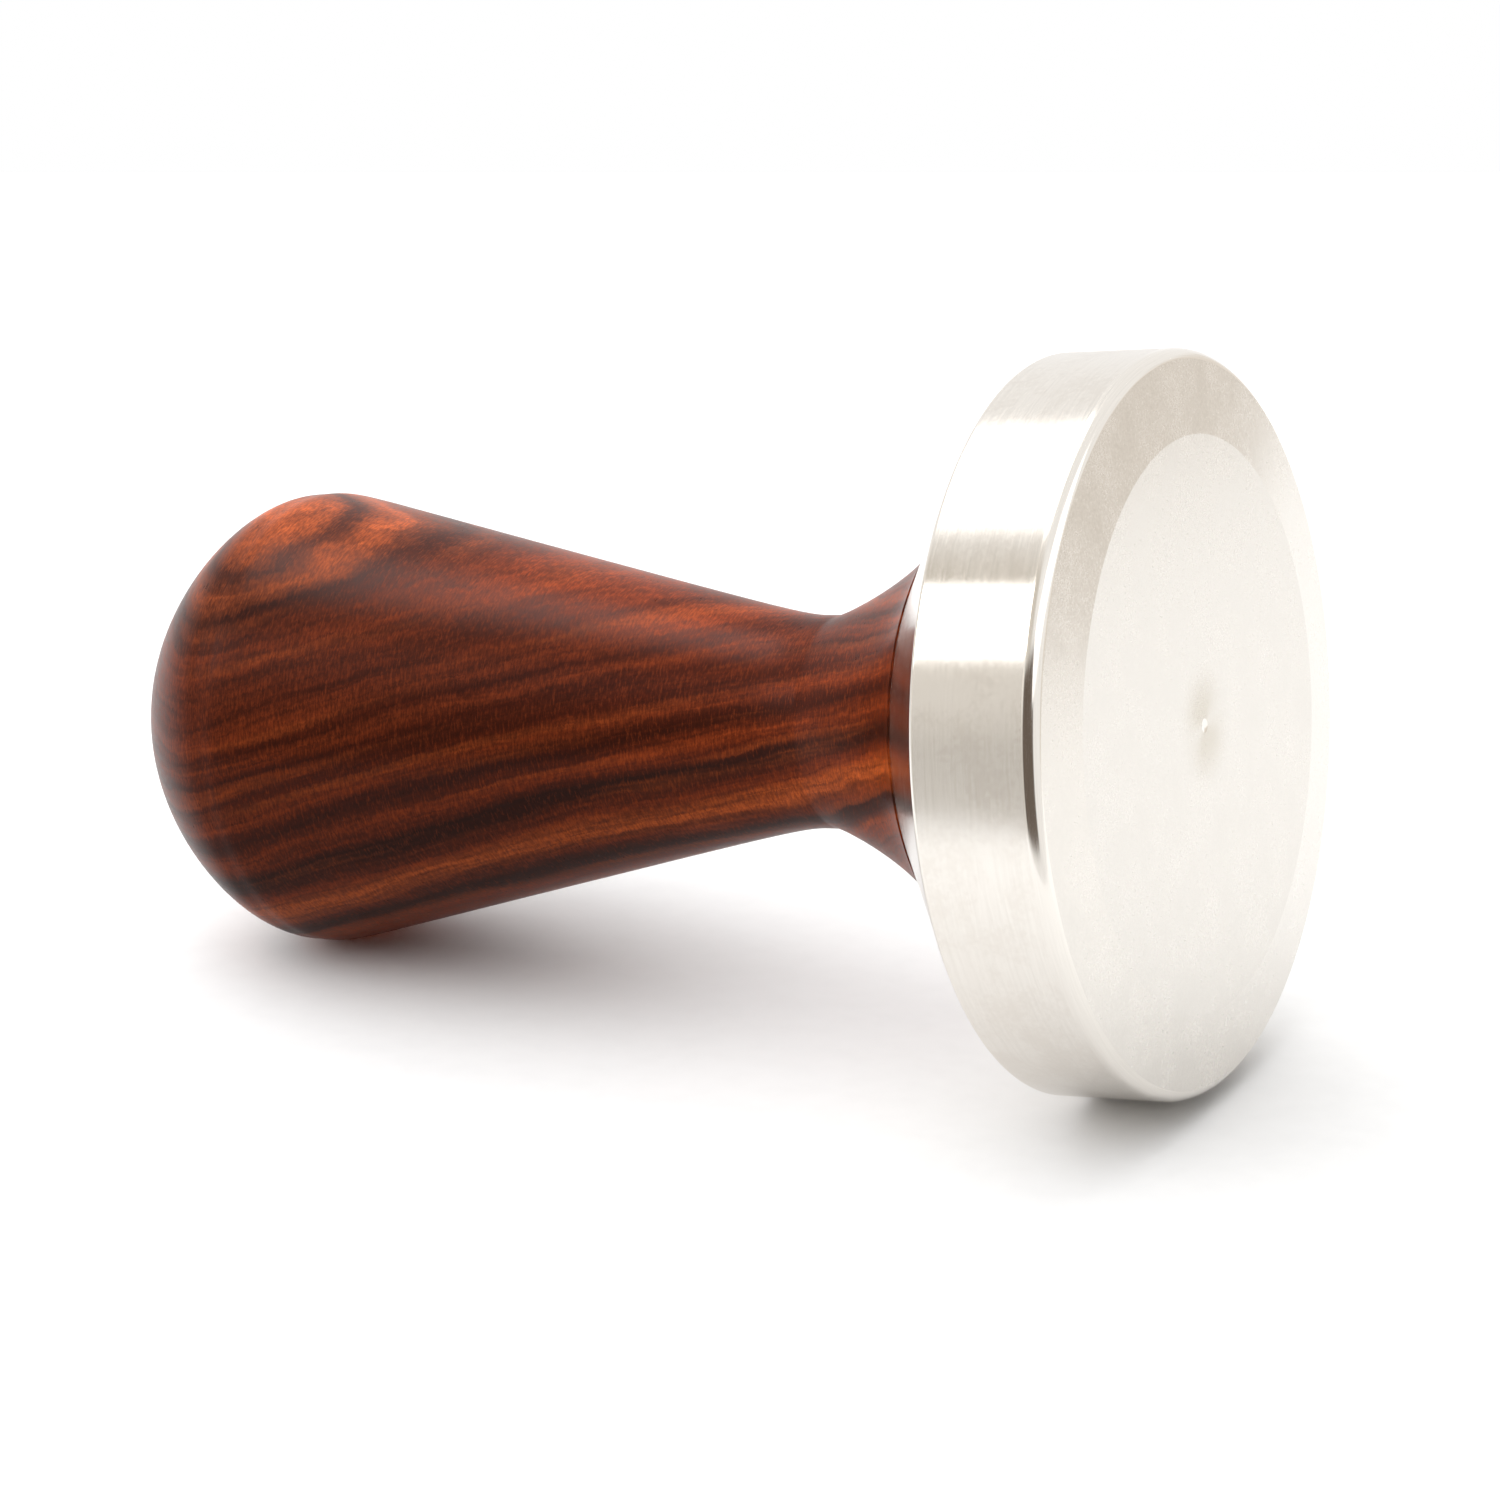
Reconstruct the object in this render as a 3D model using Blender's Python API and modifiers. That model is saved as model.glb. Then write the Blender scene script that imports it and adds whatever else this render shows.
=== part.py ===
"""Espresso tamper: a turned rosewood handle on a 58 mm stainless tamping base.

The tamper stands on its tamping face, with the middle of that face at the origin and the handle up
+Z. The base has a blind threaded hole. The handle holds a brass insert with a steel stud in it, so
the base unscrews from the handle. A split lock washer lies round the stud, inside the handle's
end. All parts are turned about the Z axis. Units are metres.
"""

import math

import bmesh
import bpy
from mathutils import Matrix, Vector
from mathutils.geometry import interpolate_bezier

MM = 0.001

# Steel base, heights above the tamping face.
BASE_R = 29.0 * MM
FACE_FLAT_R = 22.4 * MM
FACE_RING_DEPTH = 0.6 * MM
CENTRE_MARK_R = 0.55 * MM
CENTRE_MARK_DEPTH = 0.25 * MM
FRONT_FILLET_R = 1.2 * MM
FRONT_FILLET_Z = 1.75 * MM
REAR_EDGE_Z = 10.8 * MM
REAR_EDGE_R = 0.35 * MM
SEAT_R = 17.0 * MM
SEAT_Z = 18.5 * MM
HOLE_BOTTOM_Z = 6.8 * MM
HOLE_COUNTERSINK_R = 4.7 * MM

# Turned handle: foot, waist, straight taper, belly and rounded end.
FOOT_R = 16.7 * MM
FOOT_Z = 18.7 * MM
FOOT_EDGE = 0.15 * MM
FLARE_SLOPE = 1.47
WAIST_R = 8.67 * MM
WAIST_Z = 31.5 * MM
TAPER_R = 14.4 * MM
TAPER_Z = 59.0 * MM
TAPER_SLOPE = 0.24
BELLY_R = 19.45 * MM
BELLY_Z = 82.5 * MM
TOP_Z = 97.4 * MM

# Hole in the handle's foot for the washer, the insert's flange and the insert.
RECESS_R = 8.4 * MM
RECESS_TOP_Z = 23.1 * MM
INSERT_HOLE_R = 5.8 * MM
INSERT_HOLE_TOP_Z = 37.4 * MM

# Brass insert.
INSERT_FLANGE_R = 8.1 * MM
INSERT_FLANGE_Z = 21.3 * MM
INSERT_FLANGE_T = 1.5 * MM
INSERT_R = 5.5 * MM
INSERT_TOP_Z = 36.8 * MM
BARB_DEPTH = 0.5 * MM
BARB_PITCH = 2.2 * MM
BARB_COUNT = 5

# M8 coarse thread. The holes are wider than the stud by THREAD_GAP all round.
PITCH = 1.25 * MM
CREST_R = 4.0 * MM
ROOT_R = 3.323 * MM
THREAD_GAP = 0.2 * MM
STUD_BOTTOM_Z = 8.6 * MM
STUD_TOP_Z = 33.8 * MM
STUD_CHAMFER = 0.9 * MM
SOCKET_FLATS = 4.0 * MM
SOCKET_DEPTH = 4.0 * MM

# Split lock washer, pressed flat.
WASHER_R = 7.4 * MM
WASHER_HOLE_R = 4.25 * MM
WASHER_BOTTOM_Z = 18.8 * MM
WASHER_TOP_Z = 21.0 * MM
WASHER_SPLIT = 0.8 * MM
WASHER_SPLIT_TILT = math.radians(20)

WOOD = ("rosewood", (0.19, 0.055, 0.02), 0.35, 0.0)
STEEL = ("stainless_steel", (0.62, 0.60, 0.57), 0.25, 1.0)
BRASS = ("brass", (0.72, 0.50, 0.20), 0.3, 1.0)
STUD_STEEL = ("zinc_steel", (0.50, 0.50, 0.52), 0.35, 1.0)
SPRING_STEEL = ("spring_steel", (0.20, 0.19, 0.18), 0.4, 1.0)

LATHE_STEPS = 48
SMALL_LATHE_STEPS = 32
THREAD_STEPS = 18
SMOOTH_ANGLE = math.radians(32)


def start_scene():
    """An empty scene with one collection for the parts and one for the cutters."""
    for obj in list(bpy.data.objects):
        bpy.data.objects.remove(obj)
    parts = bpy.data.collections.new("espresso_tamper")
    cutters = bpy.data.collections.new("cutters")
    for collection in (parts, cutters):
        bpy.context.scene.collection.children.link(collection)
    return parts, cutters


def material(name, colour, roughness, metallic):
    """A Principled material, made once."""
    if name in bpy.data.materials:
        return bpy.data.materials[name]
    made = bpy.data.materials.new(name)
    made.use_nodes = True
    shader = made.node_tree.nodes["Principled BSDF"]
    shader.inputs["Base Color"].default_value = (*colour, 1.0)
    shader.inputs["Roughness"].default_value = roughness
    shader.inputs["Metallic"].default_value = metallic
    return made


def arc(centre_r, centre_z, radius, start, end, count):
    """Points of an arc in the (r, z) plane, angles in radians from +r towards +z."""
    angles = [start + (end - start) * i / count for i in range(count + 1)]
    return [(centre_r + radius * math.cos(a), centre_z + radius * math.sin(a)) for a in angles]


def bezier(start, start_handle, end_handle, end, count):
    """Points of one cubic curve in the (r, z) plane, without its last point."""
    corners = [Vector((r, z, 0.0)) for r, z in (start, start_handle, end_handle, end)]
    points = interpolate_bezier(*corners, count + 1)
    return [(p.x, p.y) for p in points[:-1]]


def turned(name, profile, collection, steps=LATHE_STEPS):
    """A solid of revolution: the (r, z) profile runs from its top down its outer side."""
    mesh = bpy.data.meshes.new(name)
    edges = [(i, i + 1) for i in range(len(profile) - 1)]
    if profile[0][0] > 0.0:
        edges.append((len(profile) - 1, 0))
    mesh.from_pydata([(r, 0.0, z) for r, z in profile], edges, [])
    obj = bpy.data.objects.new(name, mesh)
    collection.objects.link(obj)
    screw = obj.modifiers.new("lathe", "SCREW")
    screw.axis = "Z"
    screw.steps = steps
    screw.render_steps = steps
    screw.use_merge_vertices = True
    screw.merge_threshold = 0.000001
    return obj


def cut(obj, cutter):
    """Takes a cutter's shape out of a part."""
    cutter.hide_render = True
    cutter.display_type = "WIRE"
    boolean = obj.modifiers.new("cut", "BOOLEAN")
    boolean.operation = "DIFFERENCE"
    boolean.solver = "EXACT"
    boolean.object = cutter


def keep_inside(obj, envelope):
    """Keeps only what lies inside an envelope."""
    cut(obj, envelope)
    obj.modifiers[-1].operation = "INTERSECT"


def finish(obj, look):
    """Applies a part's modifiers and gives it its material and its smooth shading, sharp at its edges."""
    mesh = evaluated_mesh(obj)
    obj.modifiers.clear()
    obj.data = mesh
    mesh.name = obj.name
    mesh.materials.clear()
    mesh.materials.append(material(*look))
    mesh.shade_smooth()
    mesh.set_sharp_from_angle(angle=SMOOTH_ANGLE)


def evaluated_mesh(obj):
    """A new mesh of an object as its modifiers leave it."""
    graph = bpy.context.evaluated_depsgraph_get()
    return bpy.data.meshes.new_from_object(obj.evaluated_get(graph))


def adopt_primitive(name, collection):
    """Names the primitive just added and moves it to a collection."""
    obj = bpy.context.object
    obj.name = name
    for other in list(obj.users_collection):
        other.objects.unlink(obj)
    collection.objects.link(obj)
    return obj


def threaded_rod(name, gap, bottom, top, collection):
    """A right-hand M8 rod from bottom to top, its flanks moved outwards by gap.

    The helix is one pitch of the 60 degree profile wound round Z. Its ragged ends are cut off flat
    and closed. Every rod is wound from z = 0, so stud and holes share one helix.
    """
    first_turn = math.floor(bottom / PITCH) - 2
    turns = math.ceil(top / PITCH) + 1 - first_turn
    flank = PITCH * 5 / 16
    crest = PITCH / 8
    root_r, crest_r = ROOT_R + gap, CREST_R + gap
    heights = [PITCH, PITCH - flank, PITCH - flank - crest, PITCH - 2 * flank - crest, 0.0]
    radii = [root_r, crest_r, crest_r, root_r, root_r]
    mesh = bpy.data.meshes.new(name)
    places = [(r, 0.0, first_turn * PITCH + z) for r, z in zip(radii, heights)]
    mesh.from_pydata(places, [(i, i + 1) for i in range(4)], [])
    winding = bpy.data.objects.new(name + "_winding", mesh)
    collection.objects.link(winding)
    screw = winding.modifiers.new("helix", "SCREW")
    screw.axis = "Z"
    screw.screw_offset = PITCH
    screw.iterations = turns
    screw.steps = THREAD_STEPS
    screw.render_steps = THREAD_STEPS
    screw.use_merge_vertices = True
    screw.merge_threshold = 0.000001
    wound = evaluated_mesh(winding)
    bpy.data.objects.remove(winding)
    close_ends(wound, bottom, top)
    rod = bpy.data.objects.new(name, wound)
    collection.objects.link(rod)
    return rod


def close_ends(mesh, bottom, top):
    """Cuts an open tube flat at two heights and closes both ends."""
    bm = bmesh.new()
    bm.from_mesh(mesh)
    bmesh.ops.remove_doubles(bm, verts=bm.verts, dist=0.000001)
    for height, normal in ((top, 1.0), (bottom, -1.0)):
        everything = bm.verts[:] + bm.edges[:] + bm.faces[:]
        bmesh.ops.bisect_plane(
            bm,
            geom=everything,
            dist=0.0000001,
            plane_co=(0.0, 0.0, height),
            plane_no=(0.0, 0.0, normal),
            clear_outer=True,
        )
        rim = [e for e in bm.edges if e.is_boundary and all(abs(v.co.z - height) < 1e-7 for v in e.verts)]
        bmesh.ops.edgeloop_fill(bm, edges=rim)
    bmesh.ops.recalc_face_normals(bm, faces=bm.faces)
    bm.to_mesh(mesh)
    bm.free()


def base_profile():
    """The base from the middle of its seat, over the cone, the rim and the tamping face."""
    ring_angle = math.asin((FRONT_FILLET_Z - FACE_RING_DEPTH) / FRONT_FILLET_R)
    fillet = arc(BASE_R - FRONT_FILLET_R, FRONT_FILLET_Z, FRONT_FILLET_R, 0.0, -ring_angle, 4)
    rear = arc(BASE_R - REAR_EDGE_R, REAR_EDGE_Z - REAR_EDGE_R, REAR_EDGE_R, math.pi / 2, 0.0, 3)
    face = [(FACE_FLAT_R, 0.0), (CENTRE_MARK_R, 0.0), (0.0, CENTRE_MARK_DEPTH)]
    return [(0.0, SEAT_Z), (SEAT_R, SEAT_Z), *rear, *fillet, *face]


def make_base(parts, cutters):
    """The base, with a countersunk blind hole threaded for the stud."""
    base = turned("base", base_profile(), parts)
    tap = threaded_rod("base_thread", THREAD_GAP, HOLE_BOTTOM_Z, SEAT_Z + PITCH, cutters)
    cut(base, tap)
    depth = HOLE_COUNTERSINK_R - ROOT_R
    cone = [(0.0, SEAT_Z + PITCH), (HOLE_COUNTERSINK_R + PITCH, SEAT_Z + PITCH)]
    cone += [(ROOT_R, SEAT_Z - depth), (0.0, SEAT_Z - depth)]
    cut(base, turned("base_countersink", cone, cutters, SMALL_LATHE_STEPS))
    finish(base, STEEL)


def handle_outline():
    """The handle's outer curve from its top to its foot."""
    taper = Vector((TAPER_SLOPE, 1.0)).normalized() * 26.0 * MM
    flare = Vector((-FLARE_SLOPE, 1.0)).normalized() * 5.2 * MM
    top_handle = (10.4 * MM, TOP_Z)
    belly_up = (BELLY_R, BELLY_Z + 4.2 * MM)
    belly_down = (BELLY_R, BELLY_Z - 3.3 * MM)
    taper_up = (TAPER_R + taper.x, TAPER_Z + taper.y)
    taper_down = (TAPER_R - taper.x, TAPER_Z - taper.y)
    waist_up = (WAIST_R, WAIST_Z + 3.6 * MM)
    waist_down = (WAIST_R, WAIST_Z - 1.0 * MM)
    foot_up = (FOOT_R + flare.x, FOOT_Z + FOOT_EDGE + flare.y)
    top, belly, middle = (0.0, TOP_Z), (BELLY_R, BELLY_Z), (TAPER_R, TAPER_Z)
    waist, foot = (WAIST_R, WAIST_Z), (FOOT_R, FOOT_Z + FOOT_EDGE)
    outline = bezier(top, top_handle, belly_up, belly, 9)
    outline += bezier(belly, belly_down, taper_up, middle, 8)
    outline += bezier(middle, taper_down, waist_up, waist, 8)
    outline += bezier(waist, waist_down, foot_up, foot, 7)
    return outline + [foot]


def make_handle(parts):
    """The handle: its outline, the foot that meets the base, and the stepped hole up its middle."""
    foot = [(FOOT_R - FOOT_EDGE, FOOT_Z), (RECESS_R, FOOT_Z), (RECESS_R, RECESS_TOP_Z)]
    hole = [(INSERT_HOLE_R, RECESS_TOP_Z), (INSERT_HOLE_R, INSERT_HOLE_TOP_Z), (0.0, INSERT_HOLE_TOP_Z)]
    finish(turned("handle_body", handle_outline() + foot + hole, parts), WOOD)


def make_insert(parts, cutters):
    """A flanged insert with barbs that hold it in the wood, threaded right through."""
    flange_top = INSERT_FLANGE_Z + INSERT_FLANGE_T
    chamfer = BARB_DEPTH
    profile = [(0.0, INSERT_TOP_Z), (INSERT_R - chamfer, INSERT_TOP_Z), (INSERT_R, INSERT_TOP_Z - chamfer)]
    for i in range(BARB_COUNT):
        barb_z = INSERT_TOP_Z - chamfer - (i + 1) * BARB_PITCH
        profile += [(INSERT_R, barb_z), (INSERT_R - BARB_DEPTH, barb_z)]
        if i < BARB_COUNT - 1:
            profile += [(INSERT_R - BARB_DEPTH, barb_z - chamfer), (INSERT_R, barb_z - 2 * chamfer)]
    profile += [(INSERT_R - BARB_DEPTH, flange_top), (INSERT_FLANGE_R, flange_top)]
    profile += [(INSERT_FLANGE_R, INSERT_FLANGE_Z), (0.0, INSERT_FLANGE_Z)]
    insert = turned("threaded_insert", profile, parts, SMALL_LATHE_STEPS)
    ends = (INSERT_FLANGE_Z - PITCH, INSERT_TOP_Z + PITCH)
    cut(insert, threaded_rod("insert_thread", THREAD_GAP, *ends, cutters))
    finish(insert, BRASS)


def make_stud(parts, cutters):
    """A headless stud with chamfered ends and a hexagon socket in its lower end."""
    stud = threaded_rod("stud", 0.0, STUD_BOTTOM_Z, STUD_TOP_Z, parts)
    outer_r = CREST_R + THREAD_GAP / 2
    tip_r = outer_r - STUD_CHAMFER
    envelope = [(0.0, STUD_TOP_Z), (tip_r, STUD_TOP_Z), (outer_r, STUD_TOP_Z - STUD_CHAMFER)]
    envelope += [(outer_r, STUD_BOTTOM_Z + STUD_CHAMFER), (tip_r, STUD_BOTTOM_Z), (0.0, STUD_BOTTOM_Z)]
    keep_inside(stud, turned("stud_envelope", envelope, cutters, SMALL_LATHE_STEPS))
    bpy.ops.mesh.primitive_cylinder_add(
        vertices=6,
        radius=SOCKET_FLATS / math.sqrt(3),
        depth=2 * SOCKET_DEPTH,
        location=(0.0, 0.0, STUD_BOTTOM_Z),
    )
    cut(stud, adopt_primitive("stud_socket", cutters))
    finish(stud, STUD_STEEL)


def make_washer(parts, cutters):
    """A square-section ring with one slanted split."""
    profile = [(WASHER_R, WASHER_TOP_Z), (WASHER_R, WASHER_BOTTOM_Z)]
    profile += [(WASHER_HOLE_R, WASHER_BOTTOM_Z), (WASHER_HOLE_R, WASHER_TOP_Z)]
    washer = turned("lock_washer", profile, parts, SMALL_LATHE_STEPS)
    middle_z = (WASHER_BOTTOM_Z + WASHER_TOP_Z) / 2
    bpy.ops.mesh.primitive_cube_add(size=1.0, location=(WASHER_R, 0.0, middle_z))
    slot = adopt_primitive("washer_split", cutters)
    size = Matrix.Diagonal((WASHER_R, WASHER_SPLIT, 3 * (WASHER_TOP_Z - WASHER_BOTTOM_Z), 1.0))
    slot.data.transform(Matrix.Rotation(WASHER_SPLIT_TILT, 4, "X") @ size)
    cut(washer, slot)
    finish(washer, SPRING_STEEL)


def main():
    parts, cutters = start_scene()
    make_base(parts, cutters)
    make_washer(parts, cutters)
    make_stud(parts, cutters)
    make_insert(parts, cutters)
    make_handle(parts)


main()
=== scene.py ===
"""Looks of an espresso tamper: cocobolo handle, stainless base, white light tent.

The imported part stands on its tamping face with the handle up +Z. The camera, the paper and the tent
are turned round it instead, so that the tamper is seen lying on its side, resting on the rear edge
of its rim and on its belly. Units are metres.
"""

import math

import bmesh
import bpy
from mathutils import Matrix, Vector
from mathutils.geometry import interpolate_bezier


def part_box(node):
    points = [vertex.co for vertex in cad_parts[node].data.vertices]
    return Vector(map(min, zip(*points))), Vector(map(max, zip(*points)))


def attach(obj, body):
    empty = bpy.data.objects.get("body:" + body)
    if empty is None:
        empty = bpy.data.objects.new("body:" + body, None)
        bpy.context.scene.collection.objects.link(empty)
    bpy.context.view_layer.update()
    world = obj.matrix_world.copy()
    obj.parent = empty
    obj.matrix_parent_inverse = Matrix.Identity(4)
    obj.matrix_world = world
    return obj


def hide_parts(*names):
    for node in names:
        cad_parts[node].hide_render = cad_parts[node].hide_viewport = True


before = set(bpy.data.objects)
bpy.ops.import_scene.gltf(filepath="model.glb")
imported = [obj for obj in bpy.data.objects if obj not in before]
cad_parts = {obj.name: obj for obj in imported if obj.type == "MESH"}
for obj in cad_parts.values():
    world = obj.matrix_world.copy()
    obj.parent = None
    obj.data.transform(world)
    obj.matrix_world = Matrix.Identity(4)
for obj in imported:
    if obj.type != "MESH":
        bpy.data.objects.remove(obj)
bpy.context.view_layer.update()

MM = 0.001
Z = Vector((0.0, 0.0, 1.0))

# ---------------------------------------------------------------- driving dimensions
base_low, base_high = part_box("base")
handle_low, handle_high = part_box("handle_body")
stud_low, stud_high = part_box("stud")
washer_low, washer_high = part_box("lock_washer")

RIM_R = base_high.x
SEAT_Z = base_high.z
FOOT_Z = handle_low.z
TOP_Z = handle_high.z
SEAT_R = 17.0 * MM
FLAT_R = 22.4 * MM
RING_DEPTH = 0.6 * MM
SPOT_R = 0.55 * MM
SPOT_DEPTH = 0.25 * MM
FILLET_R = 1.2 * MM
FILLET_Z = 1.75 * MM
REAR_Z = 10.8 * MM
REAR_R = 0.35 * MM
HOLE_BOTTOM_Z = 6.8 * MM
COUNTERSINK_R = 4.7 * MM

FOOT_R = 16.7 * MM
FOOT_EDGE = 0.15 * MM
FLARE_SLOPE = 1.47
WAIST_R, WAIST_Z = 8.67 * MM, 31.5 * MM
TAPER_R, TAPER_Z = 14.4 * MM, 59.0 * MM
TAPER_SLOPE = 0.24
BELLY_R, BELLY_Z = 19.45 * MM, 82.5 * MM
# How far the Bezier handles of the handle's curve reach from its points.
TOP_REACH = 10.4 * MM
BELLY_REACH_UP, BELLY_REACH_DOWN = 4.2 * MM, 3.3 * MM
TAPER_REACH = 26.0 * MM
WAIST_REACH_UP, WAIST_REACH_DOWN = 3.6 * MM, 1.0 * MM
FOOT_REACH = 5.2 * MM
RECESS_R, RECESS_TOP_Z = 8.4 * MM, 23.1 * MM
BORE_R, BORE_TOP_Z = 5.8 * MM, 37.4 * MM

PITCH = 1.25 * MM
CREST_R = 4.0 * MM
ROOT_R = 3.323 * MM
THREAD_GAP = 0.2 * MM
STUD_CHAMFER = 0.9 * MM
SOCKET_FLATS = 4.0 * MM
SOCKET_DEPTH = 4.0 * MM
WASHER_R = washer_high.x
WASHER_HOLE_R = 4.25 * MM
WASHER_SPLIT = 0.8 * MM
WASHER_SPLIT_TILT = math.radians(20)
WASHER_EDGE = 0.12 * MM

# Support points this close to an edge keep its faces flat; edges sharper than the angle stay sharp.
HOLD = 0.03 * MM
SMOOTH_ANGLE = math.radians(32)
BASE_STEPS, HANDLE_STEPS, WASHER_STEPS, THREAD_STEPS, CUTTER_STEPS = 256, 192, 96, 40, 64
# How far past a zone's border the middle of one of its faces may be.
FACE_SLACK, RIM_SLACK, RING_SLACK = 0.01 * MM, 0.05 * MM, 0.35 * MM


# ---------------------------------------------------------------- outlines
def line(start, end):
    """A straight stretch with a support point close to each end, so that shading stays flat."""
    a, b = Vector(start), Vector(end)
    step = (b - a).normalized() * HOLD
    return [tuple(p) for p in (a, a + step, b - step, b)]


def arc(centre_r, centre_z, radius, start, end, count):
    """Points of an arc in the (r, z) plane, angles in radians from +r towards +z."""
    angles = [start + (end - start) * i / count for i in range(count + 1)]
    return [(centre_r + radius * math.cos(a), centre_z + radius * math.sin(a)) for a in angles]


def bezier(start, start_handle, end_handle, end, count):
    """Points of one cubic curve in the (r, z) plane."""
    corners = [Vector((r, z, 0.0)) for r, z in (start, start_handle, end_handle, end)]
    return [(p.x, p.y) for p in interpolate_bezier(*corners, count + 1)]


def joined(*stretches):
    """One outline from stretches that start where the one before ends."""
    points = []
    for stretch in stretches:
        for p in stretch:
            if not points or (Vector(p) - Vector(points[-1])).length > 1e-7:
                points.append(p)
    return points


def base_outline():
    """The base from the middle of its seat, over the cone and the rim, to the tamping face."""
    ring_angle = math.asin((FILLET_Z - RING_DEPTH) / FILLET_R)
    rear = arc(RIM_R - REAR_R, REAR_Z - REAR_R, REAR_R, math.pi / 2, 0.0, 8)
    fillet = arc(RIM_R - FILLET_R, FILLET_Z, FILLET_R, 0.0, -ring_angle, 16)
    return joined(
        line((0.0, SEAT_Z), (SEAT_R, SEAT_Z)),
        line((SEAT_R, SEAT_Z), rear[0]),
        rear,
        line(rear[-1], fillet[0]),
        fillet,
        line(fillet[-1], (FLAT_R, 0.0)),
        line((FLAT_R, 0.0), (SPOT_R, 0.0)),
        [(SPOT_R, 0.0), (0.0, SPOT_DEPTH)],
    )


def handle_outline():
    """The handle's outer curve from its top to its foot."""
    taper = Vector((TAPER_SLOPE, 1.0)).normalized() * TAPER_REACH
    flare = Vector((-FLARE_SLOPE, 1.0)).normalized() * FOOT_REACH
    top, belly, middle = (0.0, TOP_Z), (BELLY_R, BELLY_Z), (TAPER_R, TAPER_Z)
    waist, foot = (WAIST_R, WAIST_Z), (FOOT_R, FOOT_Z + FOOT_EDGE)
    above = (TAPER_R + taper.x, TAPER_Z + taper.y)
    below = (TAPER_R - taper.x, TAPER_Z - taper.y)
    above_foot = (foot[0] + flare.x, foot[1] + flare.y)
    return joined(
        bezier(top, (TOP_REACH, TOP_Z), (BELLY_R, BELLY_Z + BELLY_REACH_UP), belly, 28),
        bezier(belly, (BELLY_R, BELLY_Z - BELLY_REACH_DOWN), above, middle, 24),
        bezier(middle, below, (WAIST_R, WAIST_Z + WAIST_REACH_UP), waist, 24),
        bezier(waist, (WAIST_R, WAIST_Z - WAIST_REACH_DOWN), above_foot, foot, 24),
    )


def handle_hole():
    """The underside of the foot and the stepped hole for washer, insert flange and insert."""
    return joined(
        line((FOOT_R - FOOT_EDGE, FOOT_Z), (RECESS_R, FOOT_Z)),
        line((RECESS_R, FOOT_Z), (RECESS_R, RECESS_TOP_Z)),
        line((RECESS_R, RECESS_TOP_Z), (BORE_R, RECESS_TOP_Z)),
        line((BORE_R, RECESS_TOP_Z), (BORE_R, BORE_TOP_Z)),
        line((BORE_R, BORE_TOP_Z), (0.0, BORE_TOP_Z)),
    )


def reach(outline, tilt):
    """How far an outline reaches from the axis's foot towards a plane tilted to the axis."""
    return max(r * math.cos(tilt) + z * math.sin(tilt) for r, z in outline)


# ---------------------------------------------------------------- meshes
def turned(name, outline, steps):
    """A solid of revolution. The outline runs from its top down its outer side."""
    bm = bmesh.new()
    rings = []
    for r, z in outline:
        if r < 1e-9:
            rings.append([bm.verts.new((0.0, 0.0, z))])
            continue
        angles = [2 * math.pi * i / steps for i in range(steps)]
        rings.append([bm.verts.new((r * math.cos(a), r * math.sin(a), z)) for a in angles])
    pairs = list(zip(rings, rings[1:]))
    if len(rings[0]) > 1:
        pairs.append((rings[-1], rings[0]))
    for upper, lower in pairs:
        for i in range(steps):
            j = (i + 1) % steps
            corners = [upper[i % len(upper)], lower[i % len(lower)]]
            corners += [lower[j % len(lower)], upper[j % len(upper)]]
            bm.faces.new(list(dict.fromkeys(corners)))
    bmesh.ops.recalc_face_normals(bm, faces=bm.faces)
    return mesh_object(name, bm)


def mesh_object(name, bm):
    """An object of a bmesh, which is freed."""
    mesh = bpy.data.meshes.new(name)
    bm.to_mesh(mesh)
    bm.free()
    obj = bpy.data.objects.new(name, mesh)
    bpy.context.scene.collection.objects.link(obj)
    return obj


def threaded_rod(name, gap, bottom, top, steps):
    """A right-hand M8 rod from bottom to top, its thread moved outwards by gap."""
    first = math.floor(bottom / PITCH) - 2
    turns = math.ceil(top / PITCH) + 1 - first
    flank, crest = PITCH * 5 / 16, PITCH / 8
    heights = [0.0, PITCH - 2 * flank - crest, PITCH - flank - crest, PITCH - flank, PITCH]
    radii = [ROOT_R + gap, ROOT_R + gap, CREST_R + gap, CREST_R + gap, ROOT_R + gap]
    bm = bmesh.new()
    columns = []
    for i in range(turns * steps + 1):
        angle = 2 * math.pi * i / steps
        lift = (first + i / steps) * PITCH
        way = Vector((math.cos(angle), math.sin(angle), 0.0))
        profile = zip(radii, heights)
        columns.append([bm.verts.new(way * r + Z * (lift + height)) for r, height in profile])
    for left, right in zip(columns, columns[1:]):
        for k in range(len(radii) - 1):
            bm.faces.new((left[k], right[k], right[k + 1], left[k + 1]))
    bmesh.ops.remove_doubles(bm, verts=bm.verts, dist=1e-6)
    for height, side in ((top, 1.0), (bottom, -1.0)):
        everything = bm.verts[:] + bm.edges[:] + bm.faces[:]
        bmesh.ops.bisect_plane(
            bm,
            geom=everything,
            dist=1e-7,
            plane_co=(0, 0, height),
            plane_no=(0, 0, side),
            clear_outer=True,
        )
        open_edges = [e for e in bm.edges if e.is_boundary]
        rim = [e for e in open_edges if all(abs(v.co.z - height) < 1e-7 for v in e.verts)]
        bmesh.ops.edgeloop_fill(bm, edges=rim)
    bmesh.ops.recalc_face_normals(bm, faces=bm.faces)
    return mesh_object(name, bm)


def combine(obj, cutter, operation):
    """Cuts obj with a cutter, or keeps what is inside it, and removes the cutter."""
    boolean = obj.modifiers.new("cut", "BOOLEAN")
    boolean.operation = operation
    boolean.solver = "EXACT"
    boolean.object = cutter
    graph = bpy.context.evaluated_depsgraph_get()
    mesh = bpy.data.meshes.new_from_object(obj.evaluated_get(graph))
    obj.modifiers.clear()
    obj.data = mesh
    bpy.data.objects.remove(cutter)


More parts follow.
